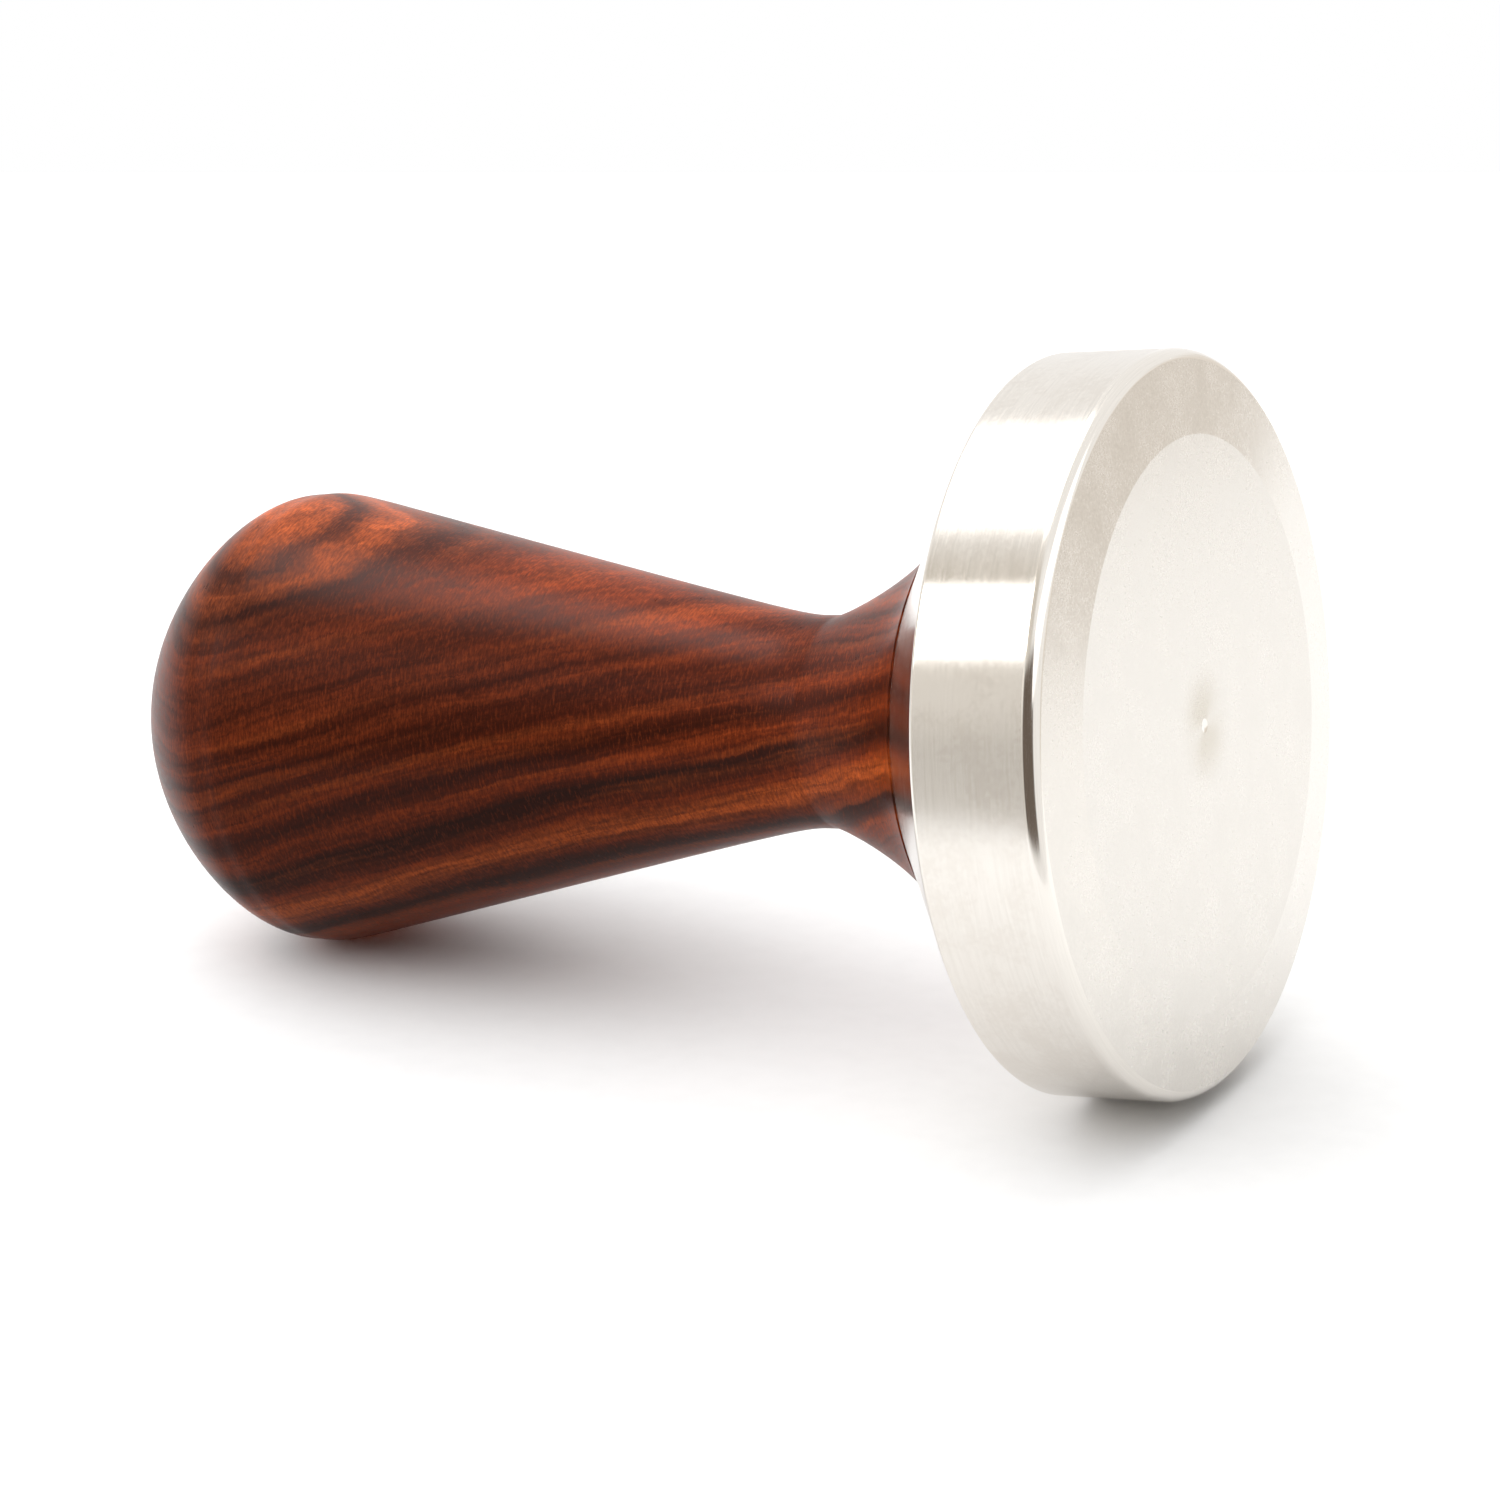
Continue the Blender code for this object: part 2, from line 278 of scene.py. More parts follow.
def shade(obj, *materials, zone=None):
    """Smooth shading, sharp at edges, with the material that zone(r, z) picks for each face."""
    mesh = obj.data
    mesh.materials.clear()
    for m in materials:
        mesh.materials.append(m)
    if zone:
        for face in mesh.polygons:
            c = face.center
            face.material_index = zone(math.hypot(c.x, c.y), c.z)
    mesh.shade_smooth()
    mesh.set_sharp_from_angle(angle=SMOOTH_ANGLE)


# ---------------------------------------------------------------- node helper
class Tree:
    """Short calls for the nodes of one node tree."""

    def __init__(self, tree):
        self.tree = tree

    def add(self, kind, **settings):
        made = self.tree.nodes.new(kind)
        for key, value in settings.items():
            setattr(made, key, value)
        return made

    def put(self, socket, value):
        if isinstance(value, bpy.types.NodeSocket):
            self.tree.links.new(value, socket)
        else:
            socket.default_value = value

    def maths(self, operation, *values):
        made = self.add("ShaderNodeMath", operation=operation)
        for socket, value in zip(made.inputs, values):
            self.put(socket, value)
        return made.outputs[0]

    def total(self, *values):
        result = values[0]
        for value in values[1:]:
            result = self.maths("ADD", result, value)
        return result

    def times(self, a, b):
        return self.maths("MULTIPLY", a, b)

    def dot(self, vector, constant):
        made = self.add("ShaderNodeVectorMath", operation="DOT_PRODUCT")
        self.put(made.inputs[0], vector)
        made.inputs[1].default_value = constant
        return made.outputs["Value"]

    def vector(self, x, y, z):
        made = self.add("ShaderNodeCombineXYZ")
        for socket, value in zip(made.inputs, (x, y, z)):
            self.put(socket, value)
        return made.outputs[0]

    def split(self, vector):
        made = self.add("ShaderNodeSeparateXYZ")
        self.put(made.inputs[0], vector)
        return made.outputs

    def noise(self, vector, scale, detail=2.0, roughness=0.5):
        made = self.add("ShaderNodeTexNoise")
        self.put(made.inputs["Vector"], vector)
        made.inputs["Scale"].default_value = scale
        made.inputs["Detail"].default_value = detail
        made.inputs["Roughness"].default_value = roughness
        return made.outputs["Fac"]

    def remap(self, value, low, high, to_low=0.0, to_high=1.0, smooth=True):
        made = self.add("ShaderNodeMapRange")
        made.interpolation_type = "SMOOTHSTEP" if smooth else "LINEAR"
        self.put(made.inputs["Value"], value)
        numbers = {"From Min": low, "From Max": high, "To Min": to_low, "To Max": to_high}
        for key, number in numbers.items():
            self.put(made.inputs[key], number)
        return made.outputs["Result"]

    def ramp(self, value, stops):
        made = self.add("ShaderNodeValToRGB")
        self.put(made.inputs["Fac"], value)
        elements = made.color_ramp.elements
        while len(elements) < len(stops):
            elements.new(0.5)
        for element, (place, colour) in zip(elements, stops):
            element.position = place
            element.color = (*colour, 1.0)
        return made.outputs["Color"]

    def mix(self, factor, a, b):
        made = self.add("ShaderNodeMix", data_type="RGBA")
        self.put(made.inputs["Factor"], factor)
        self.put(made.inputs["A"], (*a, 1.0) if isinstance(a, tuple) else a)
        self.put(made.inputs["B"], (*b, 1.0) if isinstance(b, tuple) else b)
        return made.outputs["Result"]

    def bump(self, height, strength, distance):
        made = self.add("ShaderNodeBump")
        made.inputs["Strength"].default_value = strength
        made.inputs["Distance"].default_value = distance
        self.put(made.inputs["Height"], height)
        return made.outputs["Normal"]


def new_material(name, **sockets):
    """A Principled material: its Tree, its shader node and itself. Keywords name plain inputs."""
    made = bpy.data.materials.new(name)
    made.use_nodes = True
    shader = made.node_tree.nodes["Principled BSDF"]
    for key, value in sockets.items():
        shader.inputs[key.replace("_", " ")].default_value = value
    return Tree(made.node_tree), shader, made


def millimetres(t):
    """The piece's own coordinates in millimetres."""
    place = t.add("ShaderNodeTexCoord").outputs["Object"]
    scaled = t.add("ShaderNodeVectorMath", operation="SCALE")
    t.put(scaled.inputs[0], place)
    scaled.inputs["Scale"].default_value = 1.0 / MM
    return scaled.outputs[0]


# ---------------------------------------------------------------- camera and lying pose
# The camera's pose, from the fit to the outlines in the photo: how far the axis turns out of the
# picture and dips, where the middle of the face is in camera space, and the lens for the sensor's
# width, both in millimetres.
VIEW_TURN = math.radians(29.645)
VIEW_DIP = math.radians(-0.728)
FACE_PLACE = Vector((34.988, 1.883, -294.142)) * MM
FOCAL_LENGTH = 91.7592
SENSOR = 36.0
CLIP_START = 0.01

full_outline = handle_outline()
rim_outline = base_outline()


def lying_tilt():
    """The angle between the axis and a plane that touches both the rim and the belly."""
    low, high = 0.0, math.radians(20)
    for _ in range(50):
        middle = (low + high) / 2
        if reach(rim_outline, middle) > reach(full_outline, middle):
            low = middle
        else:
            high = middle
    return low


tilt = lying_tilt()
level = math.cos(VIEW_DIP)
# The tamper's axis and the studio's upright, in camera space.
axis_view = -Vector((level * math.cos(VIEW_TURN), math.sin(VIEW_DIP), level * math.sin(VIEW_TURN)))
pitch = math.asin(math.sin(tilt) / math.hypot(axis_view.y, axis_view.z))
pitch -= math.atan2(-axis_view.y, -axis_view.z)
up_view = Vector((0.0, math.cos(pitch), math.sin(pitch)))

# The rotation from camera space to the part's own frame, and the studio's directions there.
side = Vector((1.0, -1.0, 0.0)).normalized()
ahead_view = (up_view + axis_view * math.sin(tilt)) / math.cos(tilt)
view_basis = Matrix((ahead_view, axis_view.cross(ahead_view), axis_view))
world_basis = Matrix((side, Z.cross(side), Z))
turn = world_basis.transposed() @ view_basis

studio_right = turn @ Vector((1.0, 0.0, 0.0))
studio_up = turn @ up_view
studio_forward = studio_up.cross(studio_right)


def studio(azimuth, elevation):
    """A direction in the studio: azimuth from straight ahead towards the right, in degrees."""
    a, e = math.radians(azimuth), math.radians(elevation)
    flat = studio_forward * math.cos(a) + studio_right * math.sin(a)
    return flat * math.cos(e) + studio_up * math.sin(e)


def make_camera():
    """The photo's camera, placed round the standing tamper."""
    data = bpy.data.cameras.new("camera")
    data.sensor_width = SENSOR
    data.lens = FOCAL_LENGTH
    data.clip_start = CLIP_START
    camera = bpy.data.objects.new("camera", data)
    bpy.context.scene.collection.objects.link(camera)
    camera.matrix_world = Matrix.Translation(turn @ -FACE_PLACE) @ turn.to_4x4()
    bpy.context.scene.camera = camera


# ---------------------------------------------------------------- studio
PAPER_SIDES, PAPER_NEAR, PAPER_FAR = 420.0 * MM, -80.0 * MM, 500.0 * MM
PAPER_DARK, PAPER_LIGHT = (0.93, 0.93, 0.93), (0.95, 0.95, 0.95)
TABLE_HALF = 2000.0 * MM
TABLE_DROP = 0.02 * MM


def sheet(name, centre, right, forward, sides, near, far):
    """A rectangle from near to far along forward and as wide as sides to each side of centre."""
    bm = bmesh.new()
    corners = ((-sides, near), (sides, near), (sides, far), (-sides, far))
    bm.faces.new([bm.verts.new(centre + right * x + forward * y) for x, y in corners])
    return mesh_object(name, bm)


def paper_material():
    """White paper that can only be seen from its front."""
    t, shader, made = new_material("paper", Roughness=1.0)
    shader.inputs["Specular IOR Level"].default_value = 0.0
    mottle = t.noise(millimetres(t), 0.4, 3.0)
    t.put(shader.inputs["Base Color"], t.ramp(mottle, [(0.3, PAPER_DARK), (0.7, PAPER_LIGHT)]))
    facing = t.add("ShaderNodeNewGeometry").outputs["Backfacing"]
    mixed = t.add("ShaderNodeMixShader")
    t.put(mixed.inputs[0], facing)
    t.put(mixed.inputs[1], shader.outputs[0])
    t.put(mixed.inputs[2], t.add("ShaderNodeBsdfTransparent").outputs[0])
    t.put(made.node_tree.nodes["Material Output"].inputs["Surface"], mixed.outputs[0])
    return made


def make_floors():
    """The paper that the tamper lies on, and one under its face that only shows when it stands."""
    paper = paper_material()
    rest_point = studio_up * -reach(rim_outline, tilt)
    lying = sheet(
        "floor", rest_point, studio_right, studio_forward, PAPER_SIDES, PAPER_NEAR, PAPER_FAR
    )
    lying.visible_diffuse = False
    x, y = Vector((1.0, 0.0, 0.0)), Vector((0.0, 1.0, 0.0))
    standing = sheet("standing_floor", Z * -TABLE_DROP, x, y, TABLE_HALF, -TABLE_HALF, TABLE_HALF)
    for way in ("diffuse", "glossy", "transmission", "volume_scatter", "shadow"):
        setattr(standing, "visible_" + way, False)
    for obj in (lying, standing):
        obj.data.materials.append(paper)


# What reflections see: the tent's wall and the panels on it, each with azimuth, elevation, half
# width and half height in degrees, softness of its edge, colour, and whether its sides run along
# the tamper (True) or level (False). Later panels cover earlier ones.
TENT = (1.10, 1.09, 1.08)
LAMP = (4.0, 4.0, 4.0)
PANELS = (
    (-46.0, 55.0, 14.0, 11.0, 0.20, (1.4, 1.38, 1.34), True),  # soft light, high at the left
    (-50.0, 75.0, 12.0, 15.0, 0.20, (12.0, 11.8, 11.6), True),  # lamp overhead
    (-112.0, 38.0, 40.0, 19.0, 0.22, (0.78, 0.73, 0.66), True),  # shade round the left lamp
    (62.0, 1.0, 36.0, 12.0, 0.10, (0.93, 0.87, 0.80), False),  # low wall at the right
    (-121.0, 15.0, 12.0, 12.0, 0.10, (1.10, 1.06, 1.0), True),  # lighter gap under the lamp
    (-128.0, -4.0, 9.0, 14.0, 0.16, (0.68, 0.64, 0.58), True),  # grey band near the table
    (-172.0, 8.0, 36.0, 27.0, 0.08, (0.17, 0.135, 0.11), True),  # dark opening at the camera
    (-111.0, 35.0, 15.0, 9.8, 0.012, LAMP, True),  # lamp at the left, its edges sharp
    (125.0, 36.0, 33.0, 13.0, 0.04, (2.2, 2.2, 2.2), False),  # lamp at the right
)
# What lights paper and wood: wide soft lobes, each with azimuth and elevation in degrees and
# strength. Each fades with the cosine from its middle, from LOBE_FULL to LOBE_EDGE.
LOBES = (
    (0.0, 55.0, 0.94),
    (120.0, 55.0, 0.77),
    (-120.0, 55.0, 1.72),
    (0.0, 20.0, 2.09),
    (-120.0, 20.0, 0.78),
    (-60.0, 20.0, 1.46),
)
LOBE_EDGE, LOBE_FULL = 0.64, 0.98
# Light that the paper under the tamper throws back up; it fades out up to the horizon.
BOUNCE, BOUNCE_FULL = 0.75, -0.3
# A panel is cut off where its direction is nearly square to the ray.
PANEL_DEPTH = 0.05


def make_tent():
    """The light: plain white to the camera, tent and panels to reflections, lobes to the rest."""
    world = bpy.data.worlds.new("tent")
    bpy.context.scene.world = world
    world.use_nodes = True
    world.cycles.sampling_method = "NONE"
    t = Tree(world.node_tree)
    background = world.node_tree.nodes["Background"]
    ray = t.add("ShaderNodeTexCoord").outputs["Generated"]
    seen = TENT
    for azimuth, elevation, half_width, half_height, edge, colour, along in PANELS:
        normal = studio(azimuth, elevation)
        across = Z - normal * normal.z if along else normal.cross(studio_up)
        across.normalize()
        height = across.cross(normal)
        depth = t.dot(ray, normal)
        mask = t.maths("GREATER_THAN", depth, PANEL_DEPTH)
        for way, half in ((across, half_width), (height, half_height)):
            ahead = t.maths("MAXIMUM", depth, PANEL_DEPTH)
            offset = t.maths("ABSOLUTE", t.maths("DIVIDE", t.dot(ray, way), ahead))
            limit = math.tan(math.radians(half))
            mask = t.times(mask, t.remap(offset, limit - edge, limit + edge, 1.0, 0.0))
        seen = t.mix(mask, seen, colour)
    lobes = [
        t.remap(t.dot(ray, studio(azimuth, elevation)), LOBE_EDGE, LOBE_FULL, 0.0, strength)
        for azimuth, elevation, strength in LOBES
    ]
    light = t.total(*lobes, t.remap(t.dot(ray, studio_up), BOUNCE_FULL, 0.0, BOUNCE, 0.0))
    path = t.add("ShaderNodeLightPath").outputs
    light = t.mix(path["Is Glossy Ray"], t.vector(light, light, light), seen)
    t.put(background.inputs["Color"], t.mix(path["Is Camera Ray"], light, (1.0, 1.0, 1.0)))


# ---------------------------------------------------------------- wood
BLACK = (0.019, 0.0046, 0.0024)
EBONY = (0.034, 0.0058, 0.0022)
MAROON = (0.066, 0.0092, 0.0024)
BROWN = (0.115, 0.0170, 0.0038)
RUST = (0.195, 0.0300, 0.0060)
ORANGE = (0.370, 0.0690, 0.0130)

# Figure of the wood across its layers: place in millimetres, colour.
LAYERS = (
    (-20.0, RUST), (-16.0, EBONY), (-13.0, RUST), (-10.2, BROWN), (-9.0, RUST),
    (-8.2, EBONY), (-7.3, BLACK), (-6.6, BROWN), (-5.7, ORANGE), (-4.8, ORANGE),
    (-4.0, RUST), (-3.3, BROWN), (-2.4, BLACK), (-1.5, BLACK), (-0.8, BROWN),
    (0.2, RUST), (0.9, BROWN), (1.6, EBONY), (2.2, MAROON), (3.1, RUST),
    (4.6, MAROON), (5.4, BROWN), (6.2, MAROON), (7.1, RUST), (7.9, MAROON),
    (8.8, RUST), (10.4, BROWN), (13.5, RUST), (15.6, EBONY), (16.5, ORANGE),
    (17.2, EBONY), (17.9, ORANGE),
)
LAYER_SPAN = 24.0
# How the layers bend: what each product adds to w, in millimetres. In the lying pose w runs up and
# v to the front; s runs along the axis from the waist.
BEND_S, BEND_SS = 0.1033, -0.000788
BEND_V, BEND_VV = 0.0152, 0.0042
BEND_VS, BEND_WS = 0.005903, -0.006258
# How far noise moves the layers, in millimetres: wide waves, waves and short jags.
WIDE_SHIFT, WAVE_SHIFT, JAG_SHIFT = 1.8, 1.0, 0.65
# How strongly streaks, fibres and pores darken the wood, and how strongly glow and flecks light it.
STREAK_DARK, FIBRE_DARK, PORE_DARK = 0.55, 0.35, 0.45
GLOW_LIGHT, FLECK_LIGHT = 0.30, 0.14
# Lighter colour in the flared foot; and painted light on the side that is up in the lying pose,
# standing in for the stronger light from above. The side is told by w over the radius, and starts
# above the waist.
FOOT_PALE, FOOT_PALE_FROM, FOOT_PALE_TO = 1.45, 2.0, 26.0
CROWN_PAINTED_LIGHT, CROWN_EDGE, CROWN_FULL, CROWN_RISE = 1.90, 0.50, 0.90, 20.0
WOOD_SPECULAR = 0.07


def wood_material(grain_up, grain_front):
    """Cocobolo: a solid figure of bent layers that fan on the belly and close at the waist."""
    t, shader, made = new_material("cocobolo")
    shader.inputs["Specular IOR Level"].default_value = WOOD_SPECULAR
    p = millimetres(t)
    w, v, s = t.dot(p, grain_up), t.dot(p, grain_front), t.dot(p, Z)
    s = t.maths("SUBTRACT", s, WAIST_Z / MM)
    layer = t.total(
        w,
        t.times(s, BEND_S),
        t.times(t.times(s, s), BEND_SS),
        t.times(v, BEND_V),
        t.times(t.times(v, s), BEND_VS),
        t.times(t.times(w, s), BEND_WS),
        t.times(t.times(v, v), BEND_VV),
    )
    wide = t.noise(t.vector(t.times(w, 0.09), t.times(v, 0.09), t.times(s, 0.035)), 1.0, 2.0)
    waves = t.noise(t.vector(t.times(w, 0.30), t.times(v, 0.30), t.times(s, 0.09)), 1.0, 3.0)
    jags = t.noise(t.vector(t.times(w, 1.0), t.times(v, 1.0), t.times(s, 6.0)), 1.0, 3.0, 0.7)
    bent = t.total(
        layer,
        t.times(t.maths("SUBTRACT", wide, 0.5), WIDE_SHIFT),
        t.times(t.maths("SUBTRACT", waves, 0.5), WAVE_SHIFT),
        t.times(t.maths("SUBTRACT", jags, 0.5), JAG_SHIFT),
    )
    place = t.maths("DIVIDE", t.total(bent, LAYER_SPAN), 2 * LAYER_SPAN)
    stops = [((u + LAYER_SPAN) / (2 * LAYER_SPAN), colour) for u, colour in LAYERS]
    colour = t.ramp(place, stops)
    streak_place = t.vector(t.times(bent, 1.9), t.times(v, 0.12), t.times(s, 0.05))
    streaks = t.noise(streak_place, 1.0, 4.0, 0.6)
    colour = t.mix(t.remap(streaks, 0.36, 0.60, STREAK_DARK, 0.0), colour, EBONY)
    glow = t.noise(t.vector(t.times(bent, 0.9), t.times(v, 0.05), t.times(s, 0.03)), 1.0, 2.0)
    colour = t.mix(t.remap(glow, 0.52, 0.70, 0.0, GLOW_LIGHT), colour, ORANGE)
    fibres = t.noise(t.vector(t.times(bent, 6.0), t.times(v, 1.0), t.times(s, 0.5)), 1.0, 3.0, 0.6)
    colour = t.mix(t.remap(fibres, 0.35, 0.65, FIBRE_DARK, 0.0), colour, BLACK)
    pores = t.noise(t.vector(t.times(w, 1.5), t.times(v, 1.5), t.times(s, 6.5)), 1.0, 3.0, 0.6)
    colour = t.mix(t.remap(pores, 0.36, 0.62, PORE_DARK, 0.0), colour, BLACK)
    colour = t.mix(t.remap(pores, 0.52, 0.72, 0.0, FLECK_LIGHT), colour, ORANGE)
    lighter = t.add("ShaderNodeVectorMath", operation="SCALE")
    t.put(lighter.inputs[0], colour)
    # Painted light: the side that is up in the lying pose is made lighter, standing in for the light
    # from above.
    radius = t.maths("SQRT", t.total(t.times(w, w), t.times(v, v), 0.01))
    upward = t.remap(t.maths("DIVIDE", w, radius), CROWN_EDGE, CROWN_FULL)
    crown = t.times(upward, t.remap(s, 0.0, CROWN_RISE))
    crown_light_scale = t.remap(crown, 0.0, 1.0, 1.0, CROWN_PAINTED_LIGHT, smooth=False)
    foot_scale = t.remap(s, FOOT_PALE_FROM, FOOT_PALE_TO, FOOT_PALE, 1.0)
    t.put(lighter.inputs["Scale"], t.times(foot_scale, crown_light_scale))
    t.put(shader.inputs["Base Color"], lighter.outputs[0])
    grain = t.total(t.times(fibres, 0.6), t.times(pores, 0.4))
    t.put(shader.inputs["Roughness"], t.remap(grain, 0.3, 0.7, 0.27, 0.36))
    t.put(shader.inputs["Normal"], t.bump(grain, 0.15, 0.05 * MM))
    return made


# ---------------------------------------------------------------- metals
STEEL = (0.80, 0.765, 0.715)
STEEL_DARK = (0.73, 0.695, 0.645)
STEEL_STAIN = (0.70, 0.655, 0.60)
# The next colour darkens the painted reflection lobes in the middle of the face.
STEEL_PAINTED_SHADE = (0.56, 0.52, 0.455)
ZINC_DARK, ZINC_LIGHT = (0.42, 0.42, 0.43), (0.62, 0.62, 0.63)
SPRING_DARK, SPRING_LIGHT = (0.10, 0.095, 0.09), (0.26, 0.25, 0.24)
BRASS_DARK, BRASS_LIGHT = (0.50, 0.30, 0.08), (0.80, 0.56, 0.22)
# Painted reflection in the middle of the face: dark lobes that stand in for how the turning lines
# round the centre reflect. Where it ends and starts to fade, how ragged its edge is, and its long
# axis as shares of the way up and the way to the front in the lying pose.
MARK_R, MARK_CORE_R, MARK_RAGGED = 5.3 * MM, 1.2 * MM, 3.0
MARK_UP, MARK_FRONT = 0.89, 0.46
STAIN_SHARE = 0.55
FACE_SHINE, RING_SHINE = 0.86, 0.90


def circles(t, p, across, along):
    """Fine lines round the axis: noise that changes quickly with radius and height."""
    x, y, z = t.split(p)[:3]
    r = t.maths("SQRT", t.total(t.times(x, x), t.times(y, y)))
    fine = t.vector(t.times(x, along), t.times(y, along), t.times(t.total(z, r), across))
    return t.noise(fine, 1.0, 3.0, 0.6)


def brushed_material():
    """Stainless steel brushed round the rim, with fine lines and faint stains."""
    t, shader, made = new_material("steel_brushed", Metallic=1.0, Anisotropic=1.0)
    shader.inputs["Anisotropic Rotation"].default_value = 0.25
    tangent = t.add("ShaderNodeTangent", direction_type="RADIAL", axis="Z")
    t.put(shader.inputs["Tangent"], tangent.outputs[0])
    p = millimetres(t)
    lines = circles(t, p, 4.0, 0.08)
    fine = circles(t, p, 12.0, 0.30)
    both = t.total(t.times(lines, 0.5), t.times(fine, 0.5))
    clouds = t.noise(p, 0.25, 4.0, 0.6)
    spots = t.noise(p, 2.2, 3.0, 0.7)
    stains = t.total(t.times(clouds, 0.6), t.times(spots, 0.4))
    colour = t.ramp(both, [(0.36, STEEL_DARK), (0.60, STEEL)])
    colour = t.mix(t.remap(stains, 0.44, 0.60, 0.0, STAIN_SHARE), colour, STEEL_STAIN)
    t.put(shader.inputs["Base Color"], colour)
    t.put(shader.inputs["Roughness"], t.remap(both, 0.3, 0.7, 0.17, 0.24))
    t.put(shader.inputs["Normal"], t.bump(both, 0.6, 0.01 * MM))
    return made


def polished_material(name, low, high):
    """Polished stainless steel with faint turning lines, its roughness between low and high."""
    t, shader, made = new_material(name, Metallic=1.0)
    lines = circles(t, millimetres(t), 14.0, 0.2)
    t.put(shader.inputs["Base Color"], t.ramp(lines, [(0.3, STEEL_DARK), (0.7, STEEL)]))
    t.put(shader.inputs["Roughness"], t.remap(lines, 0.3, 0.7, low, high))
    return made


def lapped_material(name, shine, shade_lobe_axis=None):
    """Stainless steel lapped flat: fine speckle and, when an axis is given, a painted reflection of
    dark lobes along it.
    """
    t, shader, made = new_material(name, Metallic=1.0)
    p = millimetres(t)
    speckle = t.noise(p, 3.6, 4.0, 0.75)
    clouds = t.noise(p, 0.20, 4.0, 0.6)
    both = t.total(t.times(speckle, 0.6), t.times(clouds, 0.4))
    dark, light = (tuple(c * shine for c in colour) for colour in (STEEL_DARK, STEEL))
    colour = t.ramp(both, [(0.40, dark), (0.58, light)])
    if shade_lobe_axis is not None:
        # Painted reflection: dark lobes round the centre, strongest along the given axis, stand in
        # for how the turning lines reflect.
        x, y, z = t.split(p)[:3]
        r = t.maths("SQRT", t.total(t.times(x, x), t.times(y, y)))
        share = t.maths("ABSOLUTE", t.dot(p, shade_lobe_axis))
        along = t.maths("DIVIDE", share, t.maths("MAXIMUM", r, 0.01))
        ragged_radius = t.total(r, t.times(t.maths("SUBTRACT", speckle, 0.5), MARK_RAGGED))
        inside = t.remap(ragged_radius, MARK_CORE_R / MM, MARK_R / MM, 1.0, 0.0)
        mark = t.times(inside, t.remap(along, 0.0, 0.9, 0.35, 1.0))
        colour = t.mix(mark, colour, STEEL_PAINTED_SHADE)
    t.put(shader.inputs["Base Color"], colour)
    t.put(shader.inputs["Roughness"], t.remap(both, 0.35, 0.65, 0.18, 0.30))
    t.put(shader.inputs["Normal"], t.bump(speckle, 0.09, 0.02 * MM))
    return made


def plain_metal(name, dark, light, low, high, scale):
    """A metal with fine turned lines and stains, its colour and roughness between two values."""
    t, shader, made = new_material(name, Metallic=1.0)
    p = millimetres(t)
    lines = circles(t, p, scale, 0.4)
    stains = t.noise(p, 0.5, 3.0)
    both = t.total(t.times(lines, 0.5), t.times(stains, 0.5))
    t.put(shader.inputs["Base Color"], t.ramp(both, [(0.3, dark), (0.7, light)]))
    t.put(shader.inputs["Roughness"], t.remap(both, 0.3, 0.7, low, high))
    t.put(shader.inputs["Normal"], t.bump(lines, 0.1, 0.01 * MM))
    return made


# ---------------------------------------------------------------- pieces
def make_base(shade_lobe_axis):
    """The base with its tapped and countersunk hole, each face with the finish of its zone."""
    base = turned("steel_base", base_outline(), BASE_STEPS)
    tap = threaded_rod("tap", THREAD_GAP, HOLE_BOTTOM_Z, SEAT_Z + PITCH, THREAD_STEPS)
    combine(base, tap, "DIFFERENCE")
    depth = COUNTERSINK_R - ROOT_R
    cone = [(0.0, SEAT_Z + PITCH), (COUNTERSINK_R + PITCH, SEAT_Z + PITCH)]
    cone += [(ROOT_R, SEAT_Z - depth), (0.0, SEAT_Z - depth)]
    combine(base, turned("countersink", cone, CUTTER_STEPS), "DIFFERENCE")

    def zone(r, z):
        """Rim 0; edges, seat, hole and centre mark 1; face 2; ring round the face 3; cone 4."""
        if r > RIM_R - RIM_SLACK and FILLET_Z < z < REAR_Z - REAR_R:
            return 0
        if z < FACE_SLACK and SPOT_R < r < FLAT_R:
            return 2
        if r < SPOT_R and z < SPOT_DEPTH:
            return 1
        if z < RING_DEPTH and r < RIM_R - FILLET_R + RING_SLACK:
            return 3
        if z > REAR_Z and SEAT_R < r < RIM_R - REAR_R:
            return 4
        return 1

    polished = polished_material("steel_polished", 0.09, 0.17)
    # The face gets the painted reflection lobes along the axis given to make_base.
    lapped = lapped_material("steel_lapped", FACE_SHINE, shade_lobe_axis)
    ring = lapped_material("steel_ring", RING_SHINE)
    turned_cone = polished_material("steel_cone", 0.14, 0.24)
    shade(base, brushed_material(), polished, lapped, ring, turned_cone, zone=zone)
    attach(base, "base")
    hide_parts("base")


def make_handle(grain_up, grain_front):
    """The turned wooden handle with its stepped hole."""
    handle = turned("wood_handle", handle_outline() + handle_hole(), HANDLE_STEPS)
    shade(handle, wood_material(grain_up, grain_front))
    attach(handle, "handle")
    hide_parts("handle_body")


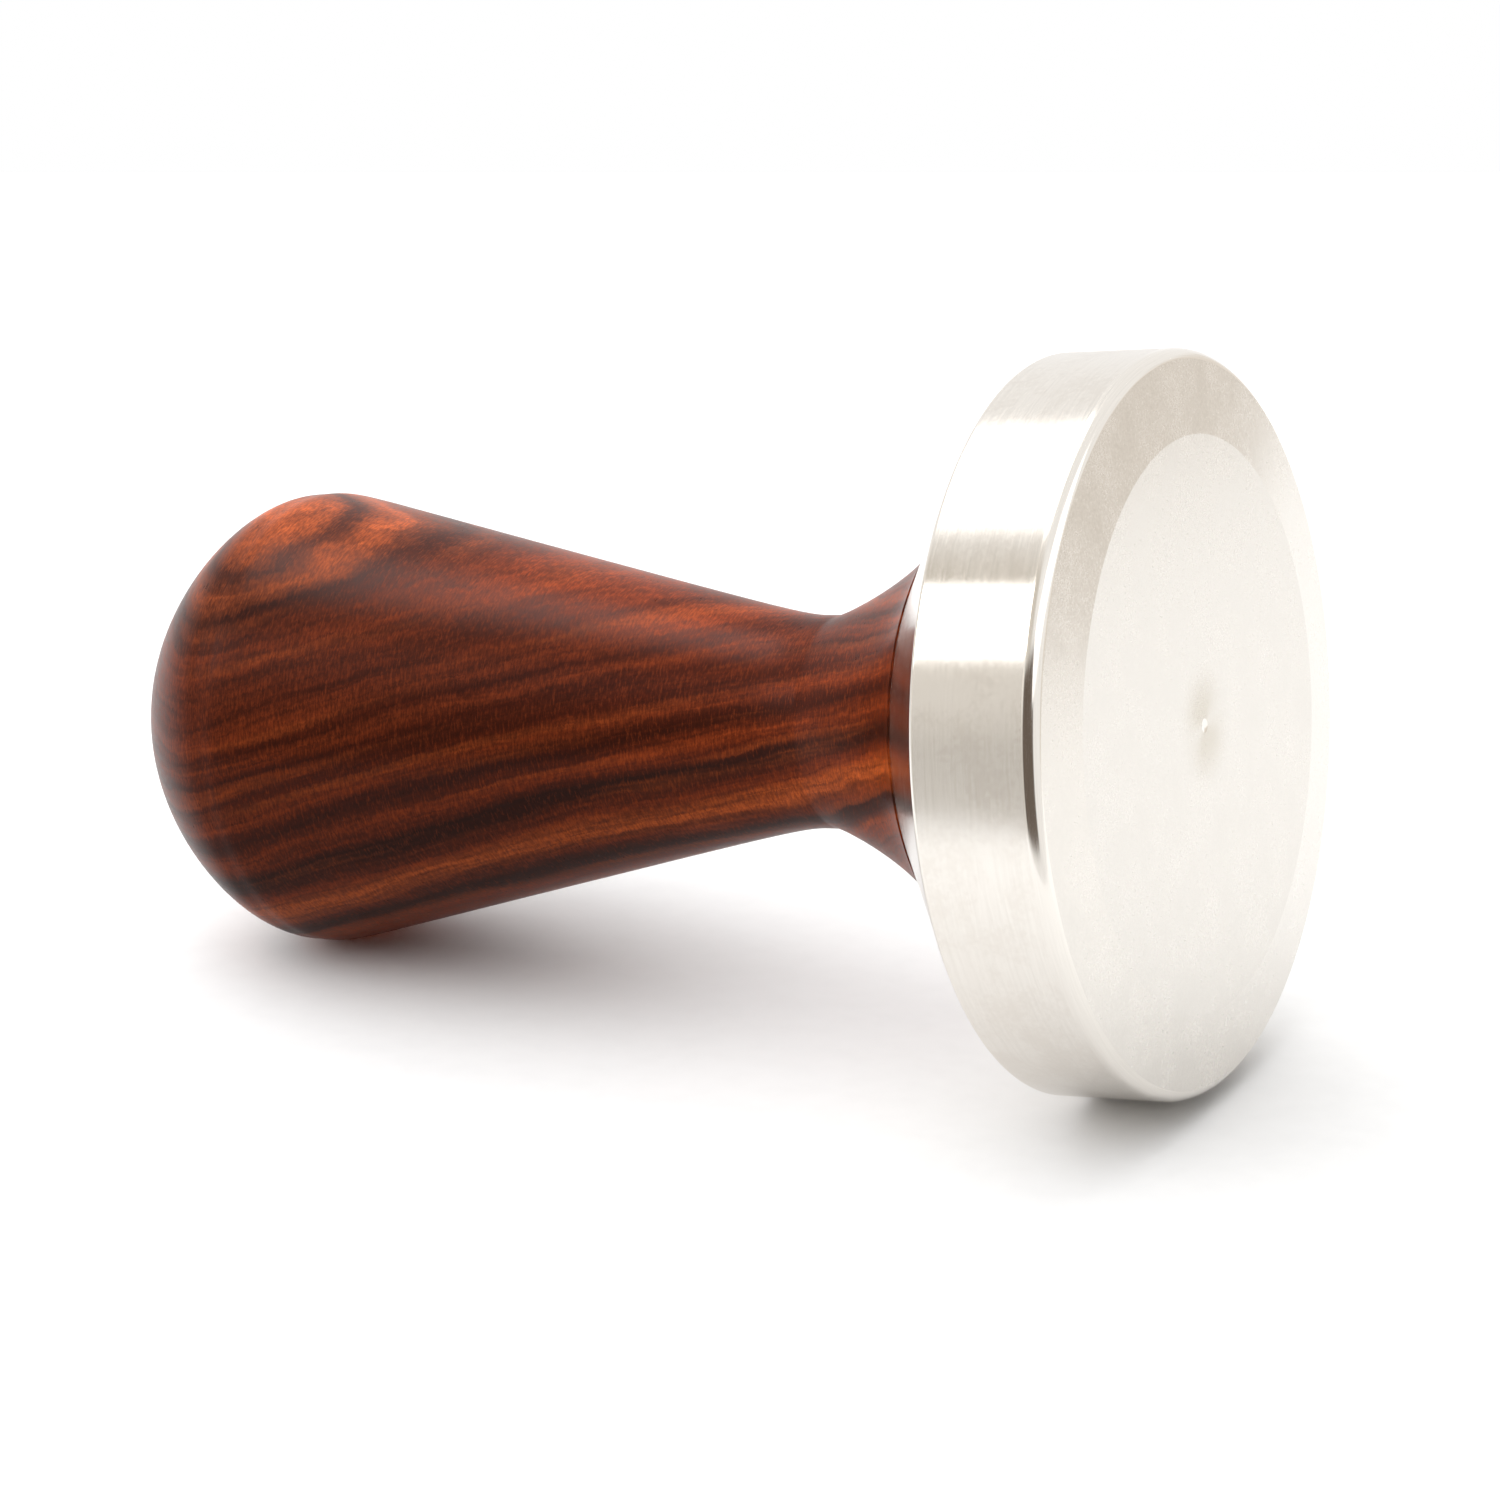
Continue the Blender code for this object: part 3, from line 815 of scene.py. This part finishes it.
def make_stud():
    """The stud: its thread, chamfered at both ends, with a hexagon socket in its lower end."""
    bottom, top = stud_low.z, stud_high.z
    stud = threaded_rod("threaded_stud", 0.0, bottom, top, THREAD_STEPS)
    outer_r = CREST_R + THREAD_GAP / 2
    tip_r = outer_r - STUD_CHAMFER
    envelope = [(0.0, top), (tip_r, top), (outer_r, top - STUD_CHAMFER)]
    envelope += [(outer_r, bottom + STUD_CHAMFER), (tip_r, bottom), (0.0, bottom)]
    combine(stud, turned("envelope", envelope, CUTTER_STEPS), "INTERSECT")
    bm = bmesh.new()
    socket_r = SOCKET_FLATS / math.sqrt(3)
    bmesh.ops.create_cone(
        bm, cap_ends=True, segments=6, radius1=socket_r, radius2=socket_r, depth=2 * SOCKET_DEPTH
    )
    bmesh.ops.translate(bm, verts=bm.verts, vec=(0.0, 0.0, bottom))
    combine(stud, mesh_object("socket", bm), "DIFFERENCE")
    shade(stud, plain_metal("steel_stud", ZINC_DARK, ZINC_LIGHT, 0.22, 0.36, 10.0))
    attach(stud, "handle")
    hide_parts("stud")


def make_washer():
    """The lock washer, its edges broken, with a slanted split."""
    low, high = washer_low.z, washer_high.z
    outer, inner, edge = WASHER_R, WASHER_HOLE_R, WASHER_EDGE
    outline = [
        (outer - edge, high), (outer, high - edge), (outer, low + edge), (outer - edge, low),
        (inner + edge, low), (inner, low + edge), (inner, high - edge), (inner + edge, high),
    ]
    washer = turned("split_washer", outline, WASHER_STEPS)
    bm = bmesh.new()
    bmesh.ops.create_cube(bm, size=1.0)
    size = Matrix.Diagonal((WASHER_R, WASHER_SPLIT, 3 * (high - low), 1.0))
    place = Matrix.Translation((WASHER_R, 0.0, (low + high) / 2))
    slant = Matrix.Rotation(WASHER_SPLIT_TILT, 4, "X")
    bmesh.ops.transform(bm, verts=bm.verts, matrix=place @ slant @ size)
    combine(washer, mesh_object("split", bm), "DIFFERENCE")
    shade(washer, plain_metal("spring_steel", SPRING_DARK, SPRING_LIGHT, 0.30, 0.48, 6.0))
    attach(washer, "washer")
    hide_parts("lock_washer")


def dress_insert():
    """The insert keeps its own shape and gets machined brass."""
    brass = plain_metal("machined_brass", BRASS_DARK, BRASS_LIGHT, 0.20, 0.36, 8.0)
    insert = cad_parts["threaded_insert"]
    for holder in insert.material_slots:
        holder.material = brass


# ---------------------------------------------------------------- the whole scene
make_camera()
make_floors()
make_tent()
bpy.context.scene.view_settings.view_transform = "Standard"

# The grain follows the lying pose: up square to the axis, and towards the camera.
camera_up = turn @ Vector((0.0, 1.0, 0.0))
grain_up = (camera_up - Z * camera_up.z).normalized()
grain_front = Z.cross(grain_up)
if grain_front.dot(turn @ -FACE_PLACE) < 0.0:
    grain_front = -grain_front

# The painted reflection lobes on the face lie along this axis, which is fixed by the lying pose.
make_base(grain_up * MARK_UP + grain_front * MARK_FRONT)
make_handle(grain_up, grain_front)
make_stud()
make_washer()
dress_insert()
